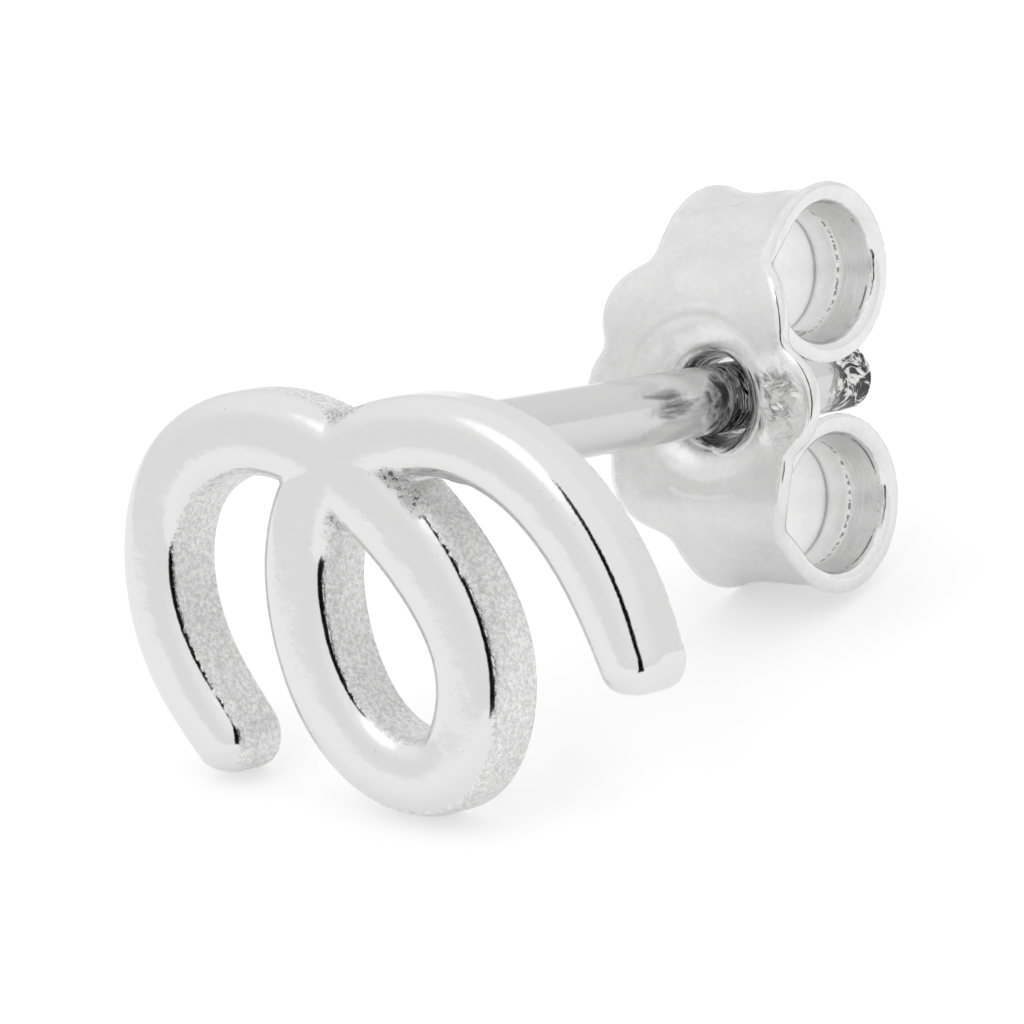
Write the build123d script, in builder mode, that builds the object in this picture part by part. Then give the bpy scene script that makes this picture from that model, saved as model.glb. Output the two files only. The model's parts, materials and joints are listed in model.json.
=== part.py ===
from build123d import *
from build123d.topology import SkipClean
from math import atan2, cos, radians, sin
import os

os.makedirs("parts", exist_ok=True)

# Stud earring lying on a table: a cast silver loop with a post behind it and a scroll back on the post.
# It is drawn upright round the post, front towards -Y, and laid down on the table at the end.
# Lengths are in millimetres.

# The cast motif
motif_width = 8.48
motif_height = 5.20
strand_width = 1.02
strand_depth = 0.81
front_edge_radius = 0.22
back_edge_radius = 0.07
notch_radius = 0.12

# The post
post_diameter = 0.90
post_length = 7.75
post_sunk_depth = 0.35
post_tip_radius = 0.14

# The plate of the back
sheet_thickness = 0.22
plate_distance = 4.34
plate_width = 3.60
plate_offset = 0.10
plate_height = 3.64
flat_share = 0.56
cusp_width_share = 0.79
cusp_height_share = 0.385
lobe_width_share = 0.79
lobe_height_share = 0.69
neck_width = 1.86
neck_setback = 0.38
lead_length = 0.10
dish_diameter = 2.10
dish_depth = 0.60
hole_clearance = 0.05
back_turn = 6.2

# The two scrolls of the back
scroll_length = 2.48
scroll_height = 2.09
scroll_clearance = 0.03
scroll_distance = 1.71
rim_flare_height = 0.12
least_flare = 0.01
curl_start = 132
curl_end = -160
curl_step = 24
wing_sections = 16
flare_growth = 3

# The foot of the motif and the lower scroll touch the table when it leans back by this, found to a hair
lean_tolerance = 0.001

# The route of the strand, from the foot of the left arch to the bottom of the loop, and from there on
# to the tip of the right arch. Each row is a place across and up from the post, as shares of the
# route's width and height, and the strand's breadth there as a share of its usual one.
route_width = motif_width - strand_width
route_height = motif_height - strand_width
first_strand = [
    (-0.490, -1.007, 0.90),
    (-0.599, -0.792, 0.97),
    (-0.653, -0.479, 0.955),
    (-0.615, -0.235, 0.985),
    (-0.508, -0.091, 1.035),
    (-0.356, -0.066, 1.08),
    (-0.194, -0.168, 1.11),
    (-0.046, -0.364, 1.095),
    (0.044, -0.600, 1.045),
    (0.053, -0.766, 1.005),
    (0.002, -0.953, 0.97),
    (-0.066, -0.996, 0.975),
]
second_strand = [
    (-0.066, -0.996, 0.975),
    (-0.169, -0.949, 0.995),
    (-0.256, -0.800, 1.03),
    (-0.309, -0.587, 1.05),
    (-0.317, -0.365, 1.055),
    (-0.258, -0.146, 1.03),
    (-0.133, -0.014, 0.99),
    (-0.003, 0.012, 0.955),
    (0.130, -0.054, 0.915),
    (0.253, -0.221, 0.88),
    (0.327, -0.400, 0.84),
    (0.366, -0.534, 0.77),
]
crossing = Vector(-0.235 * route_width, strand_depth / 2, -0.150 * route_height)


# The outline of one strand of the motif, with round tips where it ends
def strand_outline(rows, round_start, round_end):
    places = [Vector(across * route_width, up * route_height) for across, up, breadth in rows]
    with BuildLine() as outline:
        middle = Spline(*places, mode=Mode.PRIVATE)
        ways = [middle.tangent_at(middle.param_at_point(place)) for place in places]
        if not round_start:
            ways[0] = Vector(-1, 0)
        if not round_end:
            ways[-1] = Vector(-1, 0)
        reaches = [breadth * strand_width / 2 for across, up, breadth in rows]
        left = [p + w.rotate(Axis.Z, 90) * r for p, w, r in zip(places, ways, reaches)]
        right = [p - w.rotate(Axis.Z, 90) * r for p, w, r in zip(places, ways, reaches)]
        Spline(*left, tangents=(ways[0], ways[-1]), tangent_scalars=(1, 1))
        Spline(*right, tangents=(ways[0], ways[-1]), tangent_scalars=(1, 1))
        if round_start:
            ThreePointArc(left[0], places[0] - ways[0] * reaches[0], right[0])
        else:
            Line(left[0], right[0])
        if round_end:
            ThreePointArc(left[-1], places[-1] + ways[-1] * reaches[-1], right[-1])
        else:
            Line(left[-1], right[-1])
    return outline.edges()


# The cast motif with the post soldered to its back
post_radius = post_diameter / 2
with BuildPart() as loop_stud:
    with BuildSketch(Plane.XZ.offset(-strand_depth)):
        with SkipClean():
            make_face(strand_outline(first_strand, True, False))
            make_face(strand_outline(second_strand, False, True))
    extrude(amount=strand_depth, clean=False)
    notches = loop_stud.edges().filter_by(Axis.Y).sort_by_distance(crossing)[:4]
    fillet(notches, notch_radius)
    fillet(loop_stud.edges().group_by(Axis.Y)[0], front_edge_radius)
    fillet(loop_stud.edges().group_by(Axis.Y)[-1], back_edge_radius)
    with BuildSketch(Plane.XZ.offset(post_sunk_depth - strand_depth)):
        Circle(post_radius)
    extrude(amount=-(post_sunk_depth + post_length))
    fillet(loop_stud.edges().group_by(Axis.Y)[-1], post_tip_radius)


# The plate of the back: a stamped sheet with a wide lobe each side of the hole and a small one above
# and below it, leaning back towards the two necks that the wings grow from
hole_radius = post_radius + hole_clearance
dish_radius = dish_diameter / 2
half_sheet = sheet_thickness / 2
plate_front = strand_depth + plate_distance
plate_middle = plate_front + half_sheet
half_width = plate_width / 2
half_height = plate_height / 2
half_neck = neck_width / 2
flat_reach = flat_share * half_height
cusp_place = cusp_height_share * half_height
lobe_place = lobe_height_share * half_height
neck = (plate_middle + neck_setback, half_height)
neck_turn = 2 * atan2(neck_setback, half_height - flat_reach)
neck_lead = (neck[0] + lead_length * sin(neck_turn), neck[1] + lead_length * cos(neck_turn))
neck_root = half_height - half_sheet
neck_top = half_height + sheet_thickness
plate_back = plate_middle + neck_setback + sheet_thickness
# The wing above the hole: its middle line climbs from the neck and curls round the scroll, and its
# section has its rims flared outwards, so that the post lies in the middle of it as in a saddle
scroll_middle = (plate_front + scroll_distance, post_radius + scroll_clearance + scroll_height / 2)
reach = (scroll_length / 2 - half_sheet, scroll_height / 2 - half_sheet)
curl = [
    (scroll_middle[0] + reach[0] * cos(radians(turn)), scroll_middle[1] + reach[1] * sin(radians(turn)))
    for turn in range(curl_start, curl_end, -curl_step)
]
with BuildPart() as wing:
    with BuildLine(Plane.YZ) as wing_middle:
        Spline(neck, neck_lead, *curl)
    middle_line = wing_middle.edges()[0]
    for step in range(wing_sections):
        share = step / (wing_sections - 1)
        flare = max(least_flare, rim_flare_height * min(1, flare_growth * share))
        with BuildSketch(Plane(middle_line @ share, x_dir=(1, 0, 0), z_dir=middle_line % share)):
            with BuildLine():
                for face in (-half_sheet, half_sheet):
                    ThreePointArc((-half_neck, face - flare), (0, face), (half_neck, face - flare))
                for rim in (-half_neck, half_neck):
                    Line((rim, -half_sheet - flare), (rim, half_sheet - flare))
            make_face()
    loft()
print("wing", len(wing.solids()), wing.part.volume, wing.part.bounding_box())

with BuildPart() as butterfly_back:
    with BuildSketch(Plane.YZ):
        with BuildLine() as side_view:
            Line((plate_middle, 0), (plate_middle, flat_reach))
            TangentArc((plate_middle, flat_reach), neck, tangent=(0, 1))
            mirror(about=Plane.XZ)
        trace(side_view.line, sheet_thickness)
    extrude(amount=half_width, both=True)
    with BuildSketch(Plane.XZ):
        with BuildLine():
            for side in (-1, 1):
                tip = side * half_width - plate_offset
                cusp = side * cusp_width_share * half_width - plate_offset
                lobe = side * lobe_width_share * half_width - plate_offset
                ThreePointArc((cusp, -cusp_place), (tip, 0), (cusp, cusp_place))
                for end in (-1, 1):
                    corner = (side * half_neck, end * neck_root)
                    ThreePointArc((cusp, end * cusp_place), (lobe, end * lobe_place), corner)
                    Polyline(corner, (side * half_neck, end * neck_top), (0, end * neck_top))
        make_face()
    extrude(amount=-plate_back, mode=Mode.INTERSECT)
    with BuildSketch(Plane.XZ):
        Circle(dish_radius)
    extrude(amount=-plate_back, mode=Mode.SUBTRACT)
    with BuildSketch(Plane.XY):
        with BuildLine() as dish_side:
            Spline(
                (dish_radius, plate_middle),
                (hole_radius + half_sheet, plate_middle + dish_depth),
                tangents=[(-1, 0), (-0.2, 1)],
            )
        trace(dish_side.line, sheet_thickness)
    revolve(axis=Axis.Y)
    add(wing.part)
    mirror(wing.part, about=Plane.XY)


# Laid down: the whole leans back round the foot of the motif until the lower scroll touches the table
def lowest(shape, lean):
    return (Rot(-lean, 0, 0) * shape).bounding_box().min.Z


turned_back = Rot(0, -back_turn, 0) * butterfly_back.part
least_lean = 0
most_lean = 60
while most_lean - least_lean > lean_tolerance:
    lean = (least_lean + most_lean) / 2
    if lowest(turned_back, lean) > lowest(loop_stud.part, lean):
        least_lean = lean
    else:
        most_lean = lean
leaning = Rot(-lean, 0, 0)
space = Compound([leaning * loop_stud.part, leaning * turned_back]).bounding_box()
laid_down = Pos(-space.center().X, -space.center().Y, -space.min.Z) * leaning
loop_stud.part = laid_down * loop_stud.part
butterfly_back.part = laid_down * turned_back
print("lean", lean, "shift", laid_down.position)

loop_stud.part.label = "loop_stud"
butterfly_back.part.label = "butterfly_back"
for piece in (loop_stud, butterfly_back):
    print(piece.part.label, len(piece.solids()), piece.part.volume, piece.part.bounding_box())
    export_step(piece.part, "parts/" + piece.part.label + ".step")
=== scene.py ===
import json
import math
import bpy
import numpy as np
from mathutils import Matrix, Vector


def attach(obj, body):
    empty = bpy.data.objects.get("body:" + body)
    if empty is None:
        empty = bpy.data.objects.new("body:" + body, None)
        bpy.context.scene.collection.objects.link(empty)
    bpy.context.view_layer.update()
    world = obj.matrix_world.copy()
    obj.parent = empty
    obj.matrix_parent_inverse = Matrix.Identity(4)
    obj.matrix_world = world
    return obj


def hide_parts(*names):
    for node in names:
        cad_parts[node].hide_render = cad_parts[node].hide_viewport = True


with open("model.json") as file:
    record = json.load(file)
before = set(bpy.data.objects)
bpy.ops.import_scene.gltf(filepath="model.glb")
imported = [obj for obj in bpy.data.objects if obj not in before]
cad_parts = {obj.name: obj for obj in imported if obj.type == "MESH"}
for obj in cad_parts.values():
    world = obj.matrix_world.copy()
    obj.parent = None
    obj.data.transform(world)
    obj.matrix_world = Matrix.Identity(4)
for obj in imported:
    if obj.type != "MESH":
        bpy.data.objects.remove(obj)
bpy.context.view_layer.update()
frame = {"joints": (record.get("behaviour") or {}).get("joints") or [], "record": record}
scene = bpy.context.scene
mm = 0.001

# the stud lies leaning back: its own upright frame starts at the post in the motif's front, with x to the
# right, y along the post and z up, and this matrix turns it into the world's
postMount = next(mount for mount in frame["record"]["mounts"] if mount["name"] == "post")
postWay = Vector(frame["joints"][0]["axis"]).normalized()
mountOnPost = 3.0                                  # mm from the motif's front to the recorded point
postStart = Vector(postMount["pos_m"]) - postWay * mountOnPost * mm
rightWay = Vector((1, 0, 0))
uprightTurn = Matrix((rightWay, postWay, rightWay.cross(postWay))).transposed()
uprightToWorld = Matrix.Translation(postStart) @ uprightTurn.to_4x4()


def toWorld(points):
    return points * mm @ np.array(uprightToWorld.to_3x3()).T + np.array(uprightToWorld.translation)


# camera

cameraFacts = {
    "stands": (29.417, -35.275, 7.666),            # mm, upright frame
    "looksAt": (1.086, 0.0, -0.640),
    "up": (-0.0297, 0.0, 0.9996),
    "lens": 138.06, "sensor": 36.0,                # mm
    "sees": (0.001, 10.0),                         # m, from the nearest to the farthest
}


def makeCamera(facts):
    data = bpy.data.cameras.new("camera")
    data.lens = facts["lens"]
    data.sensor_width = facts["sensor"]
    data.sensor_fit = "HORIZONTAL"
    data.clip_start, data.clip_end = facts["sees"]
    camera = bpy.data.objects.new("camera", data)
    scene.collection.objects.link(camera)
    place = uprightToWorld @ (Vector(facts["stands"]) * mm)
    back = (place - uprightToWorld @ (Vector(facts["looksAt"]) * mm)).normalized()
    right = (uprightToWorld.to_3x3() @ Vector(facts["up"])).cross(back).normalized()
    turn = Matrix((right, back.cross(right), back)).transposed()
    camera.matrix_world = Matrix.Translation(place) @ turn.to_4x4()
    scene.camera = camera
    print("camera at", [round(v / mm, 2) for v in place])
    return camera


camera = makeCamera(cameraFacts)


# smooth routes: rows of x, y and whatever else changes along them

def smoothRoute(points, step):
    # a curve through all the points, with bends as even as a bent spring's, sampled about every step
    points = np.array(points, float)
    gaps = np.linalg.norm(np.diff(points[:, :2], axis=0), axis=1)
    at = np.concatenate([[0], np.cumsum(gaps)])
    count = len(points)
    system = np.zeros((count, count))
    sides = np.zeros((count, points.shape[1]))
    system[0, 0] = system[-1, -1] = 1
    for i in range(1, count - 1):
        system[i, i - 1:i + 2] = gaps[i - 1], 2 * (gaps[i - 1] + gaps[i]), gaps[i]
        sides[i] = 6 * ((points[i + 1] - points[i]) / gaps[i] - (points[i] - points[i - 1]) / gaps[i - 1])
    bend = np.linalg.solve(system, sides)
    where = np.linspace(0, at[-1], int(at[-1] / step) + 1)
    i = np.clip(np.searchsorted(at, where, "right") - 1, 0, count - 2)
    gap = gaps[i][:, None]
    a = (at[i + 1] - where)[:, None] / gap
    b = 1 - a
    bent = (a ** 3 - a) * bend[i] + (b ** 3 - b) * bend[i + 1]
    return a * points[i] + b * points[i + 1] + bent * gap ** 2 / 6


def withLengths(route):
    steps = np.linalg.norm(np.diff(route[:, :2], axis=0), axis=1)
    return np.column_stack([route, np.concatenate([[0], np.cumsum(steps)])])


def nearestOn(route, flat):
    # for each flat point: the row of the route nearest to it, and how far to the left of the route it lies
    stride = 4                                     # only every fourth row is tried at first
    batch = 20000
    starts = route[:-1, :2]
    ways = route[1:, :2] - starts
    lengths = (ways ** 2).sum(1)
    sparse = route[::stride, :2]
    squares = (sparse ** 2).sum(1)
    parts = np.array_split(flat, len(flat) // batch + 1)
    hint = np.concatenate([(squares - 2 * part @ sparse.T).argmin(1) for part in parts]) * stride
    best = np.full(len(flat), np.inf)
    index = np.zeros(len(flat), int)
    share = np.zeros(len(flat))
    for shift in range(-stride, stride):
        i = np.clip(hint + shift, 0, len(starts) - 1)
        offset = flat - starts[i]
        along = np.clip((offset * ways[i]).sum(1) / lengths[i], 0, 1)
        far = ((offset - along[:, None] * ways[i]) ** 2).sum(1)
        closer = far < best
        best[closer], index[closer], share[closer] = far[closer], i[closer], along[closer]
    row = route[index] + share[:, None] * (route[index + 1] - route[index])
    rest = flat - row[:, :2]
    side = np.sign(ways[index, 0] * rest[:, 1] - ways[index, 1] * rest[:, 0])
    return row, side * np.sqrt(best)


def lengthAt(route, x, y):
    # how far along the route its point nearest to this one lies
    return nearestOn(route, np.array([(x, y)]))[0][0, 2]


def insideOutline(outline, flat):
    # distance to a closed outline, above zero inside it
    far = np.abs(nearestOn(outline, flat)[1])
    inside = np.zeros(len(flat), bool)
    for a, b in zip(outline[:-1], outline[1:]):
        if a[1] != b[1]:
            spans = (a[1] > flat[:, 1]) != (b[1] > flat[:, 1])
            inside ^= spans & (flat[:, 0] < (b[0] - a[0]) * (flat[:, 1] - a[1]) / (b[1] - a[1]) + a[0])
    return np.where(inside, far, -far)


def arcThrough(a, b, c, count):
    # points on the circle through three points
    (ax, ay), (bx, by), (cx, cy) = a, b, c
    aa, bb, cc = ax * ax + ay * ay, bx * bx + by * by, cx * cx + cy * cy
    d = 2 * (ax * (by - cy) + bx * (cy - ay) + cx * (ay - by))
    x = (aa * (by - cy) + bb * (cy - ay) + cc * (ay - by)) / d
    y = (aa * (cx - bx) + bb * (ax - cx) + cc * (bx - ax)) / d
    radius = math.hypot(ax - x, ay - y)
    start, middle, end = (math.atan2(py - y, px - x) for px, py in (a, b, c))
    sweep = (end - start) % (2 * math.pi)
    if (middle - start) % (2 * math.pi) > sweep:
        sweep -= 2 * math.pi
    turns = start + sweep * np.linspace(0, 1, count)
    return np.stack([x + radius * np.cos(turns), y + radius * np.sin(turns)], 1)


def softened(outline, reach, step=0.03):
    # a closed outline in even steps, with its corners rounded
    closed = withLengths(np.concatenate([outline, outline[:1]]))
    count = int(closed[-1, 2] / step)
    at = closed[-1, 2] * np.arange(count) / count
    even = np.stack([np.interp(at, closed[:, 2], closed[:, k]) for k in (0, 1)], 1)
    spread = int(3 * reach / step)
    shifts = np.arange(-spread, spread + 1)
    weights = np.exp(-0.5 * (shifts * step / reach) ** 2)
    smooth = sum(w * np.roll(even, k, axis=0) for w, k in zip(weights / weights.sum(), shifts))
    return np.concatenate([smooth, smooth[:1]])


# skins of shapes that are given as a field: above zero inside, below zero outside

def ease(value):
    value = np.clip(value, 0, 1)
    return value * value * (3 - 2 * value)


def softMax(a, b, blend):
    mix = np.maximum(blend - np.abs(a - b), 0) / np.maximum(blend, 1e-6)
    return np.maximum(a, b) + mix * mix * blend / 4


def roundedCorner(inward, deep, across, depth, square):
    # where a wall and a face meet in a rolled edge, as wide and as deep as given
    a = np.maximum(1 - inward / across, 0)
    b = np.maximum(1 - deep / depth, 0)
    return (1 - (a ** square + b ** square) ** (1 / square)) * min(across, depth)


def skinOf(field, low, high, cell):
    # vertices and quads where the field is zero, one vertex in each cell that it passes through
    low, high = np.array(low, float), np.array(high, float)
    size = np.ceil((high - low) / cell).astype(int) + 1
    axes = [low[k] + cell * np.arange(size[k]) for k in range(3)]
    value = field(*np.meshgrid(*axes, indexing="ij", sparse=True))
    inside = value > 0
    cells = size - 1
    corner = [(i, j, k) for i in (0, 1) for j in (0, 1) for k in (0, 1)]
    held = sum(inside[i:cells[0] + i, j:cells[1] + j, k:cells[2] + k].astype(np.int8) for i, j, k in corner)
    active = (held > 0) & (held < 8)
    number = np.full(cells, -1)
    number[active] = np.arange(active.sum())
    base = np.argwhere(active)
    total = np.zeros((len(base), 3))
    hits = np.zeros(len(base))
    for near in corner:
        for axis in range(3):
            if near[axis]:
                continue
            far = list(near)
            far[axis] = 1
            a = value[tuple((base + near).T)]
            b = value[tuple((base + far).T)]
            cross = (a > 0) != (b > 0)
            spot = np.array(near, float) + np.zeros((len(base), 3))
            spot[:, axis] += np.where(cross, a / np.where(a == b, 1, a - b), 0)
            total += spot * cross[:, None]
            hits += cross
    points = low + cell * (base + total / hits[:, None])
    faces = []
    for axis, u, v in ((0, 1, 2), (1, 2, 0), (2, 0, 1)):
        before = [slice(None)] * 3
        after = [slice(None)] * 3
        before[axis], after[axis] = slice(0, -1), slice(1, None)
        outward = inside[tuple(before)]
        edge = np.argwhere(outward != inside[tuple(after)])
        edge = edge[(edge[:, u] > 0) & (edge[:, v] > 0) & (edge[:, u] < cells[u]) & (edge[:, v] < cells[v])]
        around = []
        for du, dv in ((1, 1), (0, 1), (0, 0), (1, 0)):
            at = edge.copy()
            at[:, u] -= du
            at[:, v] -= dv
            around.append(number[tuple(at.T)])
        quad = np.stack(around, 1)
        turned = ~outward[tuple(edge.T)]
        quad[turned] = quad[turned][:, ::-1]
        faces.append(quad)
    return points, np.concatenate(faces)


def settle(field, points, rounds=3, reach=0.004, furthest=0.04, flattest=1e-4):
    # moves the vertices onto the field's zero along its slope
    for _ in range(rounds):
        slope = np.stack([(field(*(points + step).T) - field(*(points - step).T)) / (2 * reach)
                          for step in np.eye(3) * reach], 1)
        steep = np.maximum((slope ** 2).sum(1), flattest)
        points = points - np.clip(field(*points.T) / steep, -furthest, furthest)[:, None] * slope
    return points


def meshFrom(name, points, faces, notes):
    # notes: what the materials read of each vertex
    mesh = bpy.data.meshes.new(name)
    mesh.from_pydata(toWorld(points).tolist(), [], faces)
    mesh.shade_smooth()
    place = mesh.attributes.new("place", "FLOAT_VECTOR", "POINT")
    place.data.foreach_set("vector", points.astype(np.float32).ravel())
    for note, values in notes.items():
        kept = mesh.attributes.new(note, "FLOAT", "POINT")
        kept.data.foreach_set("value", values.astype(np.float32))
    piece = bpy.data.objects.new(name, mesh)
    scene.collection.objects.link(piece)
    print(name, len(mesh.vertices), "vertices", len(mesh.polygons), "faces")
    return piece


# node trees

def feed(tree, target, value):
    # links a socket to another one, or sets it to a plain value
    if isinstance(value, Signal):
        value = value.socket
    if isinstance(value, bpy.types.NodeSocket):
        tree.links.new(value, target)
    else:
        target.default_value = value


def addNode(tree, kind, links=(), **settings):
    node = tree.nodes.new(kind)
    for name, value in settings.items():
        setattr(node, name, value)
    for socket, value in dict(links).items():
        feed(tree, node.inputs[socket], value)
    return node


class Signal:
    # a socket to count with: each sum, product or ramp of it is a node in its tree

    def __init__(self, tree, socket):
        self.tree = tree
        self.socket = socket

    def count(self, operation, *values):
        node = addNode(self.tree, "ShaderNodeMath", enumerate(values), operation=operation)
        return Signal(self.tree, node.outputs[0])

    def ramp(self, low, high, toLow=0.0, toHigh=1.0):
        links = enumerate((self, low, high, toLow, toHigh))
        node = addNode(self.tree, "ShaderNodeMapRange", links, interpolation_type="SMOOTHSTEP")
        return Signal(self.tree, node.outputs[0])

    def __add__(self, other):
        return self.count("ADD", self, other)

    def __radd__(self, other):
        return self.count("ADD", other, self)

    def __sub__(self, other):
        return self.count("SUBTRACT", self, other)

    def __rsub__(self, other):
        return self.count("SUBTRACT", other, self)

    def __mul__(self, other):
        return self.count("MULTIPLY", self, other)

    def __rmul__(self, other):
        return self.count("MULTIPLY", other, self)

    def __truediv__(self, other):
        return self.count("DIVIDE", self, other)

    def __rtruediv__(self, other):
        return self.count("DIVIDE", other, self)

    def __pow__(self, other):
        return self.count("POWER", self, other)

    def __abs__(self):
        return self.count("ABSOLUTE", self)


def larger(a, b):
    return a.count("MAXIMUM", a, b)


def distance(a, b):
    squares = a * a + b * b
    return squares.count("SQRT", squares)


def angleOf(up, ahead):
    return up.count("ARCTAN2", up, ahead)


def mixed(share, a, b):
    return share * b + (1 - share) * a


def partsOf(tree, vector):
    return [Signal(tree, part) for part in addNode(tree, "ShaderNodeSeparateXYZ", {0: vector}).outputs]


def stretched(tree, parts, stretch):
    # a place whose parts are as many times larger as given
    links = enumerate([part * times for part, times in zip(parts, stretch)])
    return addNode(tree, "ShaderNodeCombineXYZ", links).outputs[0]


def noise(tree, place, scale, detail, rough, warp=0.0):
    # scale: how many blotches to the millimetre
    node = addNode(tree, "ShaderNodeTexNoise", {"Vector": place, "Scale": scale, "Detail": detail,
                                                "Roughness": rough, "Distortion": warp})
    return Signal(tree, node.outputs[0])


def newGroup(name, kind, given, made):
    tree = bpy.data.node_groups.new(name, kind)
    for label, socket in given:
        tree.interface.new_socket(label, in_out="INPUT", socket_type=socket)
    for label, socket in made:
        tree.interface.new_socket(label, in_out="OUTPUT", socket_type=socket)
    return tree, tree.nodes.new("NodeGroupInput").outputs, tree.nodes.new("NodeGroupOutput").inputs


# the cast motif

motif = {
    "width": 8.48, "height": 5.20,                 # mm over all
    "strand": 1.02, "depth": 0.81,
    "frontRoll": (0.30, 0.30, 2.0),                # across, deep, squareness
    "dome": (0.05, 0.50),                          # how far the front falls away, and over what breadth
    "backRoll": (0.08, 0.08, 2.0),
    "swell": 0.10, "swellTo": (-0.92, -0.10),      # how much fuller it is on one side, and the way there
    "crossing": (-1.76, -0.63),                    # across and up from the post
    "notch": (0.05, 1.2),                          # how softly the strands meet there, and how far round
    "stump": (0.43, 1.1),                          # radius and end of the post's foot inside its tube
    "solder": (0.12, 0.3),                         # how wide it spreads, and how far behind the front
    "routeStep": 0.03, "cell": 0.042,
    "roomFrom": (-5.6, -0.1, -4.95), "roomTo": (3.4, 1.3, 0.85),   # where the skin is looked for
    # where the casting was left pitted, and how far round
    "pits": [((-1.25, 0.15, -0.46), 0.25), ((-0.95, 0.15, -0.56), 0.22), ((-0.62, 0.15, -0.80), 0.20),
             ((-1.90, 0.25, -0.98), 0.26), ((-2.05, 0.3, -1.25), 0.22), ((-1.75, 0.4, 0.25), 0.30)],
    "pitFade": 1.5, "pitsBehind": (0.02, 0.05),    # the polished front has none
    # across and up from the post as shares of the route's width and height, and breadth as a share of
    # the strand's
    "route": [
        (-0.490, -1.007, 0.90), (-0.599, -0.792, 0.97), (-0.653, -0.479, 0.955), (-0.615, -0.235, 0.985),
        (-0.508, -0.091, 1.035), (-0.356, -0.066, 1.08), (-0.194, -0.168, 1.11), (-0.046, -0.364, 1.095),
        (0.044, -0.600, 1.045), (0.053, -0.766, 1.005), (0.002, -0.953, 0.97), (-0.066, -0.996, 0.975),
        (-0.169, -0.949, 0.995), (-0.256, -0.800, 1.03), (-0.309, -0.587, 1.05), (-0.317, -0.365, 1.055),
        (-0.258, -0.146, 1.03), (-0.133, -0.014, 0.99), (-0.003, 0.012, 0.955), (0.130, -0.054, 0.915),
        (0.253, -0.221, 0.88), (0.327, -0.400, 0.84), (0.366, -0.534, 0.77),
    ],
    "loopBottom": 11,                              # the route's point where its two strands are parted
}


def makeMotif(facts):
    wide, high = facts["width"] - facts["strand"], facts["height"] - facts["strand"]
    rows = [(x * wide, z * high, b * facts["strand"] / 2) for x, z, b in facts["route"]]
    whole = withLengths(smoothRoute(rows, facts["routeStep"]))
    split = ((whole[:, :2] - np.array(rows[facts["loopBottom"]][:2])) ** 2).sum(1).argmin()
    strands = [whole[:split + 1], whole[split:]]
    crossX, crossZ = facts["crossing"]
    notchSoft, notchReach = facts["notch"]
    domeFall, domeReach = facts["dome"]
    stumpRadius, stumpEnd = facts["stump"]
    solderWide, solderFrom = facts["solder"]

    def inwardOf(x, z):
        # how far inside the strands' outline each point of the front view lies
        x, z = np.broadcast_arrays(x, z)
        flat = np.column_stack([x.ravel(), z.ravel()])
        depths = []
        for strand in strands:
            row = nearestOn(strand, flat)[0]
            off = flat - row[:, :2]
            fuller = facts["swell"] * ease(off @ facts["swellTo"] / row[:, 2])
            depths.append(row[:, 2] + fuller - np.hypot(*off.T))
        near = ease(2 - np.hypot(flat[:, 0] - crossX, flat[:, 1] - crossZ) / notchReach)
        return softMax(depths[0], depths[1], notchSoft * near).reshape(x.shape)

    def field(x, y, z):
        inward = inwardOf(x, z)
        fall = domeFall * np.maximum(1 - inward / domeReach, 0) ** 2
        body = np.minimum(roundedCorner(inward, y - fall, *facts["frontRoll"]),
                          roundedCorner(inward, facts["depth"] - y, *facts["backRoll"]))
        stump = np.minimum(stumpRadius - np.hypot(x, z), stumpEnd - y)
        return softMax(body, np.minimum(stump, y - solderFrom), solderWide)

    points, faces = skinOf(field, facts["roomFrom"], facts["roomTo"], facts["cell"])
    points = settle(field, points)
    row, aside = nearestOn(whole, points[:, [0, 2]])
    pits = np.zeros(len(points))
    for place, reach in facts["pits"]:
        pits = np.maximum(pits, ease(facts["pitFade"] - np.linalg.norm(points - place, axis=1) / reach))
    start, fade = facts["pitsBehind"]
    pits *= ease((points[:, 1] - start) / fade)
    notes = {"along": row[:, 3], "aside": aside, "pits": pits}
    return meshFrom("castMotif", points, faces.tolist(), notes)


castMotif = makeMotif(motif)
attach(castMotif, "stud")
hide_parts("loop_stud")


# the post, a tube along a straight line that closes in a rounded tip

post = {
    "from": 0.6, "to": 8.56,                       # mm along the post's way
    "radius": 0.45,
    "tip": 0.17, "tipSquare": 2.4,                 # how long the rounding is, and how square
    "crowding": 3.0,                               # how much closer the rings stand towards the tip
    "steps": 150, "around": 72,
    "merge": 1e-4,
}


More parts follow.
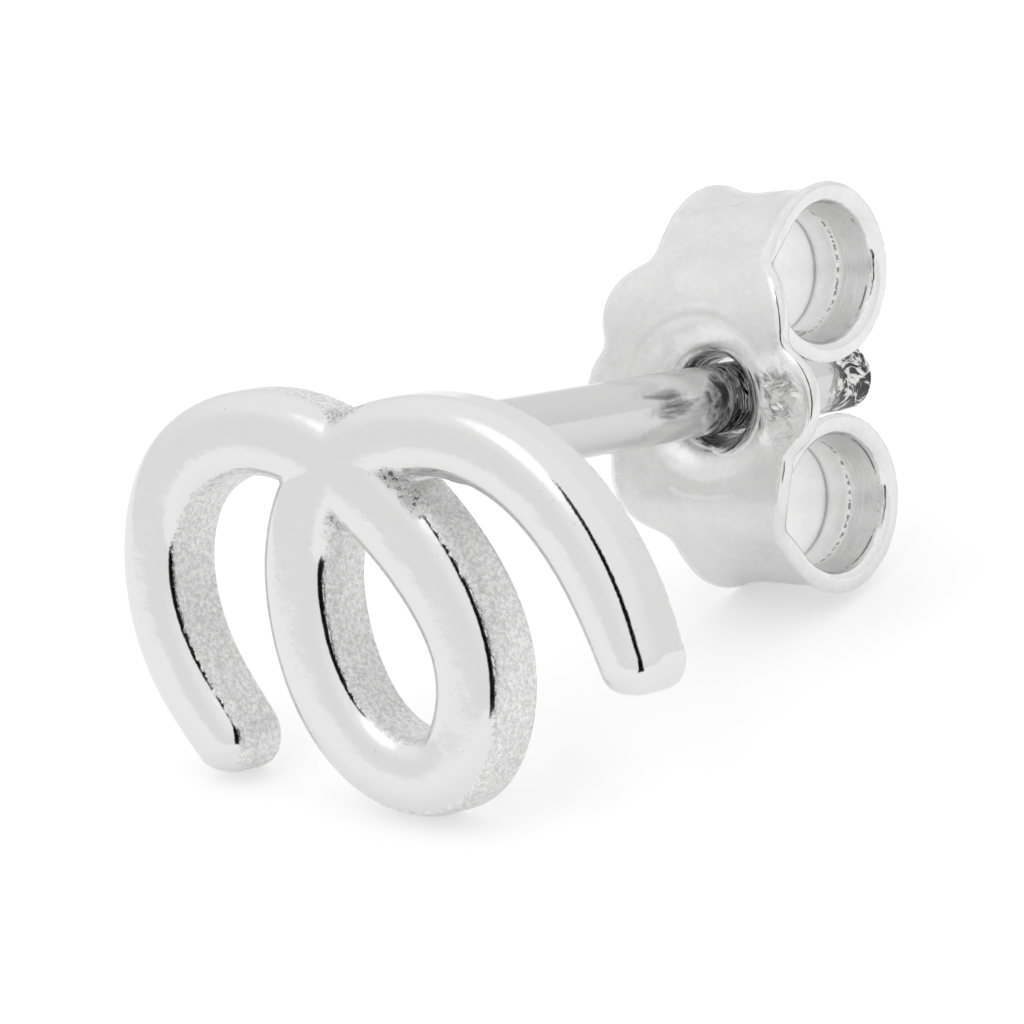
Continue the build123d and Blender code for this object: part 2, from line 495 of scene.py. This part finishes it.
def makePost(facts):
    settings = {"Length": facts["to"] - facts["from"], "Radius": facts["radius"], "Tip": facts["tip"],
                "Steps": facts["steps"], "Around": facts["around"]}
    kinds = {float: "NodeSocketFloat", int: "NodeSocketInt"}
    inputs = [(name, kinds[type(value)]) for name, value in settings.items()]
    tree, given, made = newGroup("postTube", "GeometryNodeTree", inputs, [("Geometry", "NodeSocketGeometry")])
    length, tip, steps = (Signal(tree, given[name]) for name in ("Length", "Tip", "Steps"))
    share = Signal(tree, tree.nodes.new("GeometryNodeInputIndex").outputs[0]) / (steps - 1)
    left = length * (1 - share) ** facts["crowding"]
    close = larger(1 - left / tip, 0)
    swell = (1 - close ** facts["tipSquare"]) ** (1 / facts["tipSquare"])
    spot = addNode(tree, "ShaderNodeCombineXYZ", {"Z": length - left})
    ring = addNode(tree, "GeometryNodeCurvePrimitiveCircle", {"Resolution": given["Around"],
                                                              "Radius": given["Radius"]})
    tube = {"Profile Curve": ring.outputs[0], "Scale": swell, "Fill Caps": True}
    step = addNode(tree, "GeometryNodeMeshLine", {"Count": steps})
    for kind, links in (("SetPosition", {"Position": spot.outputs[0]}), ("MeshToCurve", {}),
                        ("CurveToMesh", tube), ("MergeByDistance", {"Distance": facts["merge"]}),
                        ("SetShadeSmooth", {}), ("RealizeInstances", {}), ("SetMaterial", {})):
        step = addNode(tree, "GeometryNode" + kind, {0: step.outputs[0], **links})
    feed(tree, made["Geometry"], step.outputs[0])

    holder = bpy.data.objects.new("postHolder", bpy.data.meshes.new("postHolder"))
    scene.collection.objects.link(holder)
    modifier = holder.modifiers.new("tube", "NODES")
    modifier.node_group = tree
    for item in tree.interface.items_tree:
        if item.in_out == "INPUT":
            modifier[item.identifier] = settings[item.name]
    drawn = bpy.data.meshes.new_from_object(holder.evaluated_get(bpy.context.evaluated_depsgraph_get()))
    bpy.data.objects.remove(holder)
    points = np.empty(len(drawn.vertices) * 3)
    drawn.vertices.foreach_get("co", points)
    x, y, z = points.reshape(-1, 3).T
    points = np.column_stack([x, z + facts["from"], -y])
    return meshFrom("wirePost", points, [list(face.vertices) for face in drawn.polygons], {})


wirePost = makePost(post)
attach(wirePost, "stud")
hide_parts("loop_stud")


# the scroll back: one sheet, drawn for its upper half and mirrored below, but for its outline

scrollBack = {
    "sheet": 0.22,
    "plate": 5.26,                                 # mm from the motif's front to the middle of the sheet
    "turn": 6.2,                                   # degrees that it has turned on the post
    "flat": 1.02,                                  # mm up from the hole to where the plate begins to bend
    "neck": (0.38, 1.82), "lead": 0.1,             # how far behind the plate and up the wing begins
    "scrollMiddle": (1.60, 1.525), "scrollReach": (1.13, 0.935),
    "curl": (132, -160, -24),                      # degrees round the scroll's middle: from, to, steps
    "routeStep": 0.03,
    "tips": {1: 1.79, -1: -1.90}, "offset": 0.10,
    "cusp": (1.422, 0.70), "lobe": (1.422, 1.256),
    "lowerLobeIn": {1: 0.12, -1: 0.0},             # by how much the lobes below are narrower
    "wingHalf": 0.93, "endRound": 0.25,
    "soften": 0.10,                                # mm over which the outline's corners are rounded
    # the wings' rims: flared outwards, beaded and rounded
    "flare": 0.12, "flareMost": 1.3,
    "bead": 0.07, "beadMost": 1.1, "beadStart": (-0.15, 0.5),
    "rim": 0.10,
    # the channel inside the scrolls: across from and to, deep, how wide its sides are, where it starts
    "groove": (0.0, 0.36, 0.018), "grooveSide": 0.06, "grooveStart": (0.8, 0.3),
    # the dish round the hole: how far from its middle, and how far behind the plate
    "dish": [(1.25, 0.0), (1.12, 0.004), (1.0, 0.035), (0.88, 0.09), (0.77, 0.17), (0.69, 0.30),
             (0.64, 0.46), (0.61, 0.68)],
    "dishRoom": (1.35, 0.9),
    "hole": (1.09, 0.7),                           # what is cut out of the sheet for the dish
    # dents: across and along the sheet from the hole, how far round, how far out
    "dents": [(1.02, 0.34, 0.13, 0.025), (1.26, 0.02, 0.10, -0.022), (1.06, -0.33, 0.14, 0.024),
              (1.38, 0.36, 0.10, 0.018), (1.42, -0.36, 0.11, -0.02), (1.16, -0.60, 0.12, 0.02),
              (1.52, 0.04, 0.09, 0.018), (1.26, 0.62, 0.09, -0.015), (1.20, -0.16, 0.07, 0.012),
              (0.98, 0.06, 0.08, 0.012), (-0.70, 2.72, 0.12, -0.04), (-0.45, 2.88, 0.10, 0.035),
              (-0.15, 2.90, 0.11, -0.04), (-0.82, 2.55, 0.10, 0.02), (0.15, 2.95, 0.10, 0.03),
              (-0.30, 2.72, 0.09, 0.02)],
    "cell": 0.042,
    "roomFrom": (-2.05, 5.01, -2.9), "roomTo": (1.85, 8.56, 2.9),
}


def sheetRoute(facts):
    # the sheet's middle seen from the side, from the hole over the neck and round the scroll
    base, flat = facts["plate"], facts["flat"]
    back, top = facts["neck"]
    turn = 2 * math.atan2(back, top - flat)
    bend = [(base + back * (1 - math.cos(turn * t)) / (1 - math.cos(turn)),
             flat + (top - flat) * math.sin(turn * t) / math.sin(turn)) for t in (0.25, 0.5, 0.75, 1)]
    lead = (base + back + facts["lead"] * math.sin(turn), top + facts["lead"] * math.cos(turn))
    (middleY, middleZ), (reachY, reachZ) = facts["scrollMiddle"], facts["scrollReach"]
    turns = [math.radians(t) for t in range(*facts["curl"])]
    curl = [(base + middleY + reachY * math.cos(t), middleZ + reachZ * math.sin(t)) for t in turns]
    plate = [(base, -0.5), (base, 0), (base, 0.5), (base, flat)]
    sheet = withLengths(smoothRoute(plate + bend + [lead] + curl, facts["routeStep"]))
    sheet[:, 2] -= lengthAt(sheet, base, 0.0)
    sheet = sheet[sheet[:, 2] >= -0.001]
    return sheet, lengthAt(sheet, base + back, top)


def sheetOutline(facts, neckAt, endAt):
    # the sheet laid flat: across, and along from the hole
    wing, endRound, offset = facts["wingHalf"], facts["endRound"], facts["offset"]
    cuspAcross, cuspUp = facts["cusp"]
    lobeAcross, lobeUp = facts["lobe"]

    def quarter(side, lobeIn):
        # from the middle of one side to the free end of its scroll
        cusp = (side * cuspAcross - offset, cuspUp)
        lobe = (side * (lobeAcross - lobeIn) - offset, lobeUp)
        wide = arcThrough((cusp[0], -cuspUp), (facts["tips"][side], 0), cusp, 40)[20:]
        ear = arcThrough(cusp, lobe, (side * wing, neckAt - facts["sheet"] / 2), 30)[1:]
        s = np.linspace(neckAt, endAt - endRound, 60)
        rim = np.stack([side * wing + 0 * s, s], 1)
        turns = np.linspace(0, math.pi / 2, 8)[1:]
        end = np.stack([side * (wing - endRound + endRound * np.cos(turns)),
                        endAt - endRound + endRound * np.sin(turns)], 1)
        return np.concatenate([wide, ear, rim, end])

    below = {side: quarter(side, facts["lowerLobeIn"][side]) * (1, -1) for side in (1, -1)}
    whole = np.concatenate([quarter(1, 0), quarter(-1, 0)[::-1], below[-1], below[1][::-1]])
    return softened(whole, facts["soften"])


def onSheet(sheet, y, z):
    # how far along the sheet and how far off its middle each point of the side view lies; beyond the
    # free end the sheet runs on straight, so that its edge is rounded too
    flat = np.column_stack([y.ravel(), z.ravel()])
    row, aside = nearestOn(sheet, flat)
    end, endAt = sheet[-1, :2], sheet[-1, 2]
    endWay = end - sheet[-2, :2]
    endWay /= np.linalg.norm(endWay)
    offset = flat - end
    beyond = (np.abs(row[:, :2] - end).sum(1) < 1e-9) & (offset @ endWay > 0)
    s = np.where(beyond, endAt + offset @ endWay, row[:, 2])
    aside = np.where(beyond, endWay[0] * offset[:, 1] - endWay[1] * offset[:, 0], aside)
    return s.reshape(y.shape), aside.reshape(y.shape)


def pressDents(points, sheet, dents):
    # presses the dents into the points, and says where on the sheet they lie: across, along and outwards
    upDown = np.where(points[:, 2] < 0, -1, 1)
    sideView = np.column_stack([points[:, 1], np.abs(points[:, 2])])
    row, aside = nearestOn(sheet, sideView)
    out = (sideView - row[:, :2]) / np.where(aside == 0, 1, aside)[:, None]
    own = np.column_stack([points[:, 0], row[:, 2] * upDown])
    dented = sum(deep * np.exp(-((own - (x, s)) ** 2).sum(1) / reach ** 2) for x, s, reach, deep in dents)
    points[:, 1] += dented * out[:, 0]
    points[:, 2] += dented * out[:, 1] * upDown
    return own, aside


def makeBack(facts):
    half = facts["sheet"] / 2
    base = facts["plate"]
    sheet, neckAt = sheetRoute(facts)
    endAt = sheet[-1, 2]
    wingLong = endAt - neckAt
    print("sheet", round(neckAt, 3), round(endAt, 3))
    outline = sheetOutline(facts, neckAt, endAt)
    dish = withLengths(smoothRoute([(r, base + y) for r, y in facts["dish"]], facts["routeStep"]))
    holeRadius, holeBack = facts["hole"]
    dishWide, dishBack = facts["dishRoom"]
    grooveFrom, grooveTo, grooveDeep = facts["groove"]
    grooveSide = facts["grooveSide"]
    outside = -0.02

    def field(x, y, z):
        y, z = np.broadcast_arrays(y, z)
        s, aside = onSheet(sheet, y, np.abs(z))
        shape = np.broadcast_shapes(x.shape, y.shape)
        toRim = np.minimum((x / facts["wingHalf"]) ** 2, facts["flareMost"])
        groove = ease((x - grooveFrom) / grooveSide + 0.5) - ease((x - grooveTo) / grooveSide + 0.5)
        start, fade = facts["grooveStart"]
        groove = groove * ease((s - neckAt - start) / fade)
        start, fade = facts["beadStart"]
        bead = facts["bead"] * np.minimum(toRim, facts["beadMost"]) ** 3 * ease((s - neckAt - start) / fade)
        # left of the sheet's way is its outer face once it has turned the top
        away = aside - facts["flare"] * ease(3 * (s - neckAt) / wingLong) * toRim - grooveDeep * groove
        deep = np.broadcast_to(np.minimum(half + bead - away, half + away), shape)
        value = np.minimum(deep, 0.0) + outside

        def held(values, where):
            return np.broadcast_to(values, shape)[where]

        # the sheet, cut along its outline and open for the dish
        r = np.hypot(x, z)
        near = np.broadcast_to(np.abs(aside), shape) < half + 2 * facts["flare"]
        edge = insideOutline(outline, np.column_stack([held(x, near), held(s * np.sign(z), near)]))
        hole = np.where(held(y, near) < base + holeBack, held(r, near) - holeRadius, 9)
        value[near] = roundedCorner(np.minimum(edge, hole), deep[near], facts["rim"], facts["rim"], 2)
        # the dish
        ring = np.broadcast_to((r < dishWide) & (y < base + dishBack), shape)
        flat = np.column_stack([held(r, ring), held(y, ring)])
        dished = np.minimum(half - np.abs(nearestOn(dish, flat)[1]), dish[0, 0] - flat[:, 0])
        value[ring] = np.maximum(value[ring], dished)
        return value

    points, faces = skinOf(field, facts["roomFrom"], facts["roomTo"], facts["cell"])
    points = settle(field, points)
    own, aside = pressDents(points, sheet, facts["dents"])
    notes = {"across": own[:, 0], "along": own[:, 1], "outer": aside, "edge": insideOutline(outline, own)}
    a = math.radians(facts["turn"])
    points[:, 0], points[:, 2] = (points[:, 0] * math.cos(a) - points[:, 2] * math.sin(a),
                                  points[:, 0] * math.sin(a) + points[:, 2] * math.cos(a))
    return meshFrom("stampedBack", points, faces.tolist(), notes)


stampedBack = makeBack(scrollBack)
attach(stampedBack, "back")
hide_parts("butterfly_back")


# silver: what its finishes share. A noise is given as blotches to the millimetre, detail, roughness and warp,
# and a ramp as where it is nothing and where it is full

silverTint = (1.0, 1.0, 0.998)

castGrain = {
    "coarse": (2.0, 0.6), "fine": (3.0, 0.7),      # detail and roughness
    "finer": 3.1,                                  # how many times finer than the coarse noise
    "fineHeight": 0.4, "fineSpecks": 0.55,         # the fine noise's share
    "specks": (0.38, 0.64),
}


def makeGrain(facts):
    # the skin of blasted or cast metal: fine bumps and bright and dark specks
    tree, given, made = newGroup("castGrain", "ShaderNodeTree",
                                 [("Place", "NodeSocketVector"), ("Size", "NodeSocketFloat")],
                                 [("Height", "NodeSocketFloat"), ("Specks", "NodeSocketFloat")])
    scale = 1 / Signal(tree, given["Size"])
    coarse = noise(tree, given["Place"], scale, *facts["coarse"])
    fine = noise(tree, given["Place"], scale * facts["finer"], *facts["fine"])
    feed(tree, made["Height"], mixed(facts["fineHeight"], coarse, fine))
    feed(tree, made["Specks"], mixed(facts["fineSpecks"], coarse, fine).ramp(*facts["specks"]))
    return tree


grainGroup = makeGrain(castGrain)


def grainOf(tree, place, size):
    node = addNode(tree, "ShaderNodeGroup", node_tree=grainGroup)
    feed(tree, node.inputs["Place"], place)
    feed(tree, node.inputs["Size"], size)
    return Signal(tree, node.outputs["Height"]), Signal(tree, node.outputs["Specks"])


def startSilver(name):
    material = bpy.data.materials.new(name)
    material.use_nodes = True
    tree = material.node_tree
    tree.nodes["Principled BSDF"].inputs["Metallic"].default_value = 1.0
    return material, tree, addNode(tree, "ShaderNodeAttribute", attribute_name="place").outputs["Vector"]


def readNote(tree, name):
    return Signal(tree, addNode(tree, "ShaderNodeAttribute", attribute_name=name).outputs["Fac"])


def shade(tree, value, tint):
    # a grey of this brightness, in the metal's own tint
    node = addNode(tree, "ShaderNodeVectorMath", {0: tint, "Scale": value}, operation="SCALE")
    return node.outputs["Vector"]


def finishSilver(tree, brightness, rough, height):
    # height in mm
    shader = tree.nodes["Principled BSDF"]
    bump = addNode(tree, "ShaderNodeBump", {"Height": height, "Distance": mm, "Strength": 1.0})
    feed(tree, shader.inputs["Base Color"], shade(tree, brightness, silverTint))
    feed(tree, shader.inputs["Roughness"], rough)
    feed(tree, shader.inputs["Normal"], bump.outputs[0])


# the motif's front is polished, and its walls and back are as cast

castSilver = {
    "bright": 0.83, "wallBright": 0.84,
    "polishRough": 0.08, "wallRough": 0.42,
    "wall": (0.10, 0.135),                         # mm behind the front where the polish ends
    "wander": (9.0, 4.0, 0.6), "wanderBy": 0.10,   # how that edge wanders
    "outerWall": 0.20,                             # mm further back on the left arch's outer side
    "outerSide": (0.15, 0.35), "outerEnd": (6.6, 5.9),
    "archWall": (17.6, 16.8),                      # mm along the strand: past it the walls are polished too
    "back": (0.71, 0.76),                          # mm behind the front where all of it is as cast again
    "grainSize": 0.058, "grainDeep": 0.010, "speckle": 0.36,
    "pitSize": 0.06, "pitDeep": 0.10, "pitRough": 0.22,
    "pitHollow": (0.47, 0.43), "pitDark": 0.85,
    "pinholes": (13.0, 1.0, 0.5), "pinhole": (0.27, 0.22), "pinholeDark": 0.12,
    "clouds": (2.2, 4.0, 0.6), "cloudRough": 0.05,
    "ripple": (1 / 0.55, 2.0, 0.5), "rippleDeep": 0.008,
    "fineRipple": (11.0, 3.0, 0.6), "fineRippleDeep": 0.00112,
}


def makeCastSilver(facts):
    material, tree, place = startSilver("castSilver")
    behind = partsOf(tree, place)[1]
    along, aside, pits = (readNote(tree, name) for name in ("along", "aside", "pits"))
    outer = aside.ramp(*facts["outerSide"]) * along.ramp(*facts["outerEnd"])
    wander = (noise(tree, place, *facts["wander"]) - 0.5) * facts["wanderBy"]
    wall = (behind - outer * facts["outerWall"] + wander).ramp(*facts["wall"])
    cast = wall * larger(along.ramp(*facts["archWall"]), behind.ramp(*facts["back"]))
    grain, specks = grainOf(tree, place, facts["grainSize"])
    pocked = grainOf(tree, place, facts["pitSize"])[0]
    pinholes = noise(tree, place, *facts["pinholes"]).ramp(*facts["pinhole"])
    brightness = mixed(cast, facts["bright"], facts["wallBright"]) + (specks - 0.5) * cast * facts["speckle"]
    brightness = brightness * (1 - pits * pocked.ramp(*facts["pitHollow"]) * facts["pitDark"])
    brightness = brightness * (1 - pinholes * facts["pinholeDark"])
    clouds = noise(tree, place, *facts["clouds"])
    rough = mixed(cast, facts["polishRough"], facts["wallRough"]) + clouds * facts["cloudRough"]
    height = noise(tree, place, *facts["ripple"]) * facts["rippleDeep"]
    height = height + noise(tree, place, *facts["fineRipple"]) * facts["fineRippleDeep"]
    height = height + grain * cast * facts["grainDeep"] + pocked * pits * facts["pitDeep"]
    finishSilver(tree, brightness, mixed(pits, rough, facts["pitRough"]), height)
    return material


castMotif.data.materials.append(makeCastSilver(castSilver))


# the post is plain wire, scored and painted with shade where the plate sits, and swirled at its cut end

postSilver = {
    "bright": 0.71, "rough": 0.12, "dark": 0.92,
    # painted reflections: the cut end's swirls are painted dark in streaks and lighter between them
    "swirls": (2.6, 5.0, 0.65, 2.2), "streaks": (0.56, 0.50),
    "cut": (7.5, 7.8),                             # mm along the post where the cut end's swirls begin
    "cutWander": 0.9, "cutRough": 0.25, "cutDeep": 0.16, "cutSheen": 0.25,
    # painted shade: the band where the plate sits, with its scores, is painted dark
    "holeShade": (5.05, 5.50), "holeShadeEnd": (6.6, 6.0),
    "scores": (1.0, 4.0, 0.7, 0.6), "scoreStretch": (1.6, 9.0, 1.6), "shadedScores": (0.48, 0.39),
    "scoreDeep": 0.02,
    "waves": (1.5, 3.0, 0.5), "waveDeep": 0.012,
}


def makePostSilver(facts):
    material, tree, place = startSilver("postSilver")
    parts = partsOf(tree, place)
    along = parts[1]
    swirls = noise(tree, place, *facts["swirls"])
    cut = (along + (swirls - 0.5) * facts["cutWander"]).ramp(*facts["cut"])
    streaks = cut * swirls.ramp(*facts["streaks"])
    # painted shade where the plate sits, carried by the scores in that band
    holeShade = along.ramp(*facts["holeShade"]) * along.ramp(*facts["holeShadeEnd"])
    rings = stretched(tree, parts, facts["scoreStretch"])
    scores = holeShade * noise(tree, rings, *facts["scores"]).ramp(*facts["shadedScores"])
    # painted reflections at the cut end: dark streaks and a lighter ground; the dark scores are painted shade
    brightness = facts["bright"] * (1 - larger(streaks, scores) * facts["dark"])
    brightness = brightness + (cut - streaks) * facts["cutSheen"]
    height = noise(tree, place, *facts["waves"]) * facts["waveDeep"]
    height = height + swirls * cut * facts["cutDeep"] + scores * facts["scoreDeep"]
    finishSilver(tree, brightness, mixed(cut, facts["rough"], facts["cutRough"]), height)
    return material


wirePost.data.materials.append(makePostSilver(postSilver))


# the stamped back is satin with bright rims, scored and painted with shade in its hole, creased beside it and
# brushed in its scrolls

stampedSilver = {
    "bright": 0.80, "rough": 0.25, "dark": 0.9,
    "clouds": (2.4, 4.0, 0.65), "cloudBright": 0.16, "cloudRough": 0.12,
    "waves": (1.8, 3.0, 0.5), "waveDeep": 0.02,
    "grainSize": 0.09, "grainDeep": 0.002, "speckle": 0.04,
    "plateBack": (5.6, 5.7),                       # mm along the post where the plate ends
    "rim": (0.13, 0.09), "rimBright": 0.05, "rimRough": 0.10,
    # the scores round the hole, painted dark there as painted shade: mm from their middle, which lies to the
    # right of the hole's, and mm along the post
    "throat": (0.70, 0.61), "throatAside": 0.24, "throatEnd": (7.22, 7.18),
    "funnel": (0.80, 0.72), "funnelFrom": (5.38, 5.48),
    "scores": (1.0, 4.0, 0.7, 0.8), "scoreStretch": (15.0, 7.0, 1.1), "shadedScores": (0.57, 0.42),
    "scoreDeep": 0.06,
    # painted highlight: the plate round the hole's upper half, out to about 1.1 mm, is painted lighter
    "paintedSheen": (1.17, 1.04), "paintedSheenUp": (-0.1, 0.15), "paintedSheenBright": 0.11,
    # the creased part beside the hole, painted darker along its creases and lighter between them as painted
    # shade and highlight: across, along, and its reach
    "crumpled": (1.22, 0.0), "crumpledLow": 0.6, "crumpledReach": (0.45, 0.27),
    "creases": (3.0, 2.5, 0.5, 1.1), "ridge": (0.028, 0.008), "ridgeShare": 0.35,
    "creaseShade": 0.16, "creaseDeep": 0.045,
    # inside the scrolls, painted lighter as painted light: a faint line and a dotted line of painted shade
    # along the channel's edges, and the brushed part beyond it
    "wing": (2.2, 2.5), "innerFace": (0.02, -0.02),
    "insideBright": 0.15, "insideRough": 0.15,
    "line": (0.022, 0.008), "lineShade": 0.35,
    "dotsAt": 0.36, "dotLine": (0.032, 0.012), "dotsShade": 0.75,
    "dots": (1.0, 2.0, 0.6), "dotStretch": (9.0, 11.0), "dotEnds": (0.54, 0.48),
    "brushed": (0.36, 0.41), "brush": (1.0, 4.0, 0.7), "brushStretch": (22.0, 2.5),
    "brushBright": 0.35, "brushDeep": 0.012,
    # short dark lines of painted shade just inside the rims, in the scrolls
    "rimDashesAt": 0.14, "rimDashLine": (0.016, 0.008), "rimDashes": (0.8, 4.0, 0.6), "rimDashEnds": (0.48, 0.56),
    "rimDashesDark": 0.8,
}


def makeStampedSilver(facts):
    material, tree, place = startSilver("stampedSilver")
    x, y, z = partsOf(tree, place)
    across, along, outer, edge = (readNote(tree, name) for name in ("across", "along", "outer", "edge"))
    wings = y.ramp(*facts["plateBack"])
    plate = 1 - wings
    rim = edge.ramp(*facts["rim"])
    clouds = noise(tree, place, *facts["clouds"]) - 0.5
    grain, specks = grainOf(tree, place, facts["grainSize"])

    # round the hole: painted shade in the scores, and a painted highlight above
    fromMiddle = distance(x, z)
    throat = distance(x - facts["throatAside"], z).ramp(*facts["throat"])
    funnel = fromMiddle.ramp(*facts["funnel"]) * y.ramp(*facts["funnelFrom"])
    throat = larger(throat, funnel) * y.ramp(*facts["throatEnd"])
    rings = stretched(tree, (fromMiddle, y, angleOf(z, x)), facts["scoreStretch"])
    scores = noise(tree, rings, *facts["scores"])
    # painted shade: the scores round the hole are painted dark, centred to the right of it
    shadedScores = throat * scores.ramp(*facts["shadedScores"])
    # painted highlight on the plate round the hole's upper side
    paintedSheen = fromMiddle.ramp(*facts["paintedSheen"]) * plate * z.ramp(*facts["paintedSheenUp"])

    # beside the hole
    creaseAcross, creaseAlong = facts["crumpled"]
    fromCreases = distance(across - creaseAcross, (along - creaseAlong) * facts["crumpledLow"])
    creased = fromCreases.ramp(*facts["crumpledReach"]) * plate
    creases = noise(tree, place, *facts["creases"])
    ridges = abs(creases - 0.5).ramp(*facts["ridge"])

    # in the scrolls
    inside = abs(along).ramp(*facts["wing"]) * wings * outer.ramp(*facts["innerFace"])
    # painted shade along the channel's edges: a faint line, and a dotted one further across
    line = inside * abs(across).ramp(*facts["line"]) * facts["lineShade"]
    dotted = noise(tree, stretched(tree, (across, along), facts["dotStretch"]), *facts["dots"])
    dots = abs(across - facts["dotsAt"]).ramp(*facts["dotLine"]) * dotted.ramp(*facts["dotEnds"])
    dots = inside * dots * facts["dotsShade"]
    brush = noise(tree, stretched(tree, (across, along), facts["brushStretch"]), *facts["brush"]) - 0.5
    brush = brush * inside * across.ramp(*facts["brushed"])
    # painted shade: short dark lines just inside the rims
    rimDashes = abs(edge - facts["rimDashesAt"]).ramp(*facts["rimDashLine"]) * inside
    rimDashes = rimDashes * noise(tree, along, *facts["rimDashes"]).ramp(*facts["rimDashEnds"]) * facts["rimDashesDark"]

    # all painted shade: the scores round the hole, the channel's lines and the lines by the rims
    dark = larger(larger(shadedScores, dots), larger(line, rimDashes))
    # painted light: the scrolls' insides are painted lighter
    brightness = facts["bright"] + clouds * facts["cloudBright"] + inside * facts["insideBright"]
    brightness = brightness + paintedSheen * facts["paintedSheenBright"] + rim * facts["rimBright"]
    # painted shade along the creases, and painted highlight between them
    brightness = brightness + (facts["ridgeShare"] - ridges) * creased * facts["creaseShade"]
    brightness = brightness + brush * facts["brushBright"] + (specks - 0.5) * facts["speckle"]
    brightness = brightness * (1 - dark * facts["dark"])
    rough = facts["rough"] + clouds * facts["cloudRough"] + inside * facts["insideRough"]
    height = noise(tree, place, *facts["waves"]) * facts["waveDeep"] + grain * facts["grainDeep"]
    height = height + brush * facts["brushDeep"] + creases * creased * facts["creaseDeep"]
    height = height + scores * throat * facts["scoreDeep"]
    finishSilver(tree, brightness, mixed(rim, rough, facts["rimRough"]), height)
    return material


stampedBack.data.materials.append(makeStampedSilver(stampedSilver))
print("materials made")


# floor, light tent and the black slit that the camera looks in through

studio = {
    "paperHalf": 0.3,                              # m
    # white paper: what it scatters, and what it is lit up by, to the camera and to the metal
    "floor": 0.80, "floorSeen": 0.37, "floorMirrored": 0.25, "floorRough": 0.9,
    "side": 0.84, "top": 0.93, "sideToTop": (5, 40),
    "key": 1.25, "keyWay": (-0.15, -0.40, 0.90), "keySpread": (0.90, 0.98),
    "slitAside": -3.0,                             # degrees from the camera's side
    "slitHalf": 10.5,
    "slitFoot": (0.018, 0.022),                    # m from the stud to where the slit's screen stands
    "slitTop": 72.0, "slitSoft": 1.2,
}


def slitMask(x, y, facts):
    # one in the ways that the black slit takes up, seen from the stud, and how far ahead a point lies
    spot = camera.matrix_world.translation
    facing = math.atan2(spot.y, spot.x) + math.radians(facts["slitAside"])
    ahead = x * math.cos(facing) + y * math.sin(facing)
    beside = y * math.cos(facing) - x * math.sin(facing)
    half, soft = math.radians(facts["slitHalf"]), math.radians(facts["slitSoft"])
    return abs(angleOf(beside, ahead)).ramp(half + soft, half - soft), ahead


def makeFloor(facts):
    mesh = bpy.data.meshes.new("floor")
    half = facts["paperHalf"]
    corners = [(-half, -half, 0), (half, -half, 0), (half, half, 0), (-half, half, 0)]
    mesh.from_pydata(corners, [], [(0, 1, 2, 3)])
    floor = bpy.data.objects.new("floor", mesh)
    scene.collection.objects.link(floor)
    paper = bpy.data.materials.new("whitePaper")
    paper.use_nodes = True
    tree = paper.node_tree
    shader = tree.nodes["Principled BSDF"]
    shader.inputs["Roughness"].default_value = facts["floorRough"]
    shader.inputs["Specular IOR Level"].default_value = 0.0
    shader.inputs["Emission Color"].default_value = (1, 1, 1, 1)
    x, y, z = partsOf(tree, tree.nodes.new("ShaderNodeNewGeometry").outputs["Position"])
    screen, ahead = slitMask(x, y, facts)
    clear = 1 - screen * ahead.ramp(*facts["slitFoot"])
    seen = Signal(tree, tree.nodes.new("ShaderNodeLightPath").outputs["Is Camera Ray"])
    lit = mixed(seen, clear * facts["floorMirrored"], facts["floorSeen"])
    feed(tree, shader.inputs["Emission Strength"], lit)
    scattered = mixed(seen, clear, 1.0) * facts["floor"]
    feed(tree, shader.inputs["Base Color"], shade(tree, scattered, (1, 1, 1)))
    mesh.materials.append(paper)


def makeTent(facts):
    world = bpy.data.worlds.new("lightTent")
    world.use_nodes = True
    tree = world.node_tree
    tree.nodes.clear()
    way = addNode(tree, "ShaderNodeTexCoord").outputs["Generated"]
    keyWay = tuple(Vector(facts["keyWay"]).normalized())
    toKey = addNode(tree, "ShaderNodeVectorMath", {0: way, 1: keyWay}, operation="DOT_PRODUCT").outputs[1]
    x, y, z = partsOf(tree, way)
    height = z.count("ARCSINE", z)
    low, high = (math.radians(angle) for angle in facts["sideToTop"])
    sky = height.ramp(low, high, facts["side"], facts["top"])
    light = mixed(Signal(tree, toKey).ramp(*facts["keySpread"]), sky, facts["key"])
    top, soft = math.radians(facts["slitTop"]), math.radians(2 * facts["slitSoft"])
    slit = slitMask(x, y, facts)[0] * height.ramp(top + soft, top - soft)
    tent = addNode(tree, "ShaderNodeBackground", {"Color": (1, 1, 1, 1), "Strength": light * (1 - slit)})
    addNode(tree, "ShaderNodeOutputWorld", {"Surface": tent.outputs[0]})
    scene.world = world
    scene.view_settings.view_transform = "Standard"


makeFloor(studio)
makeTent(studio)
print("studio made")
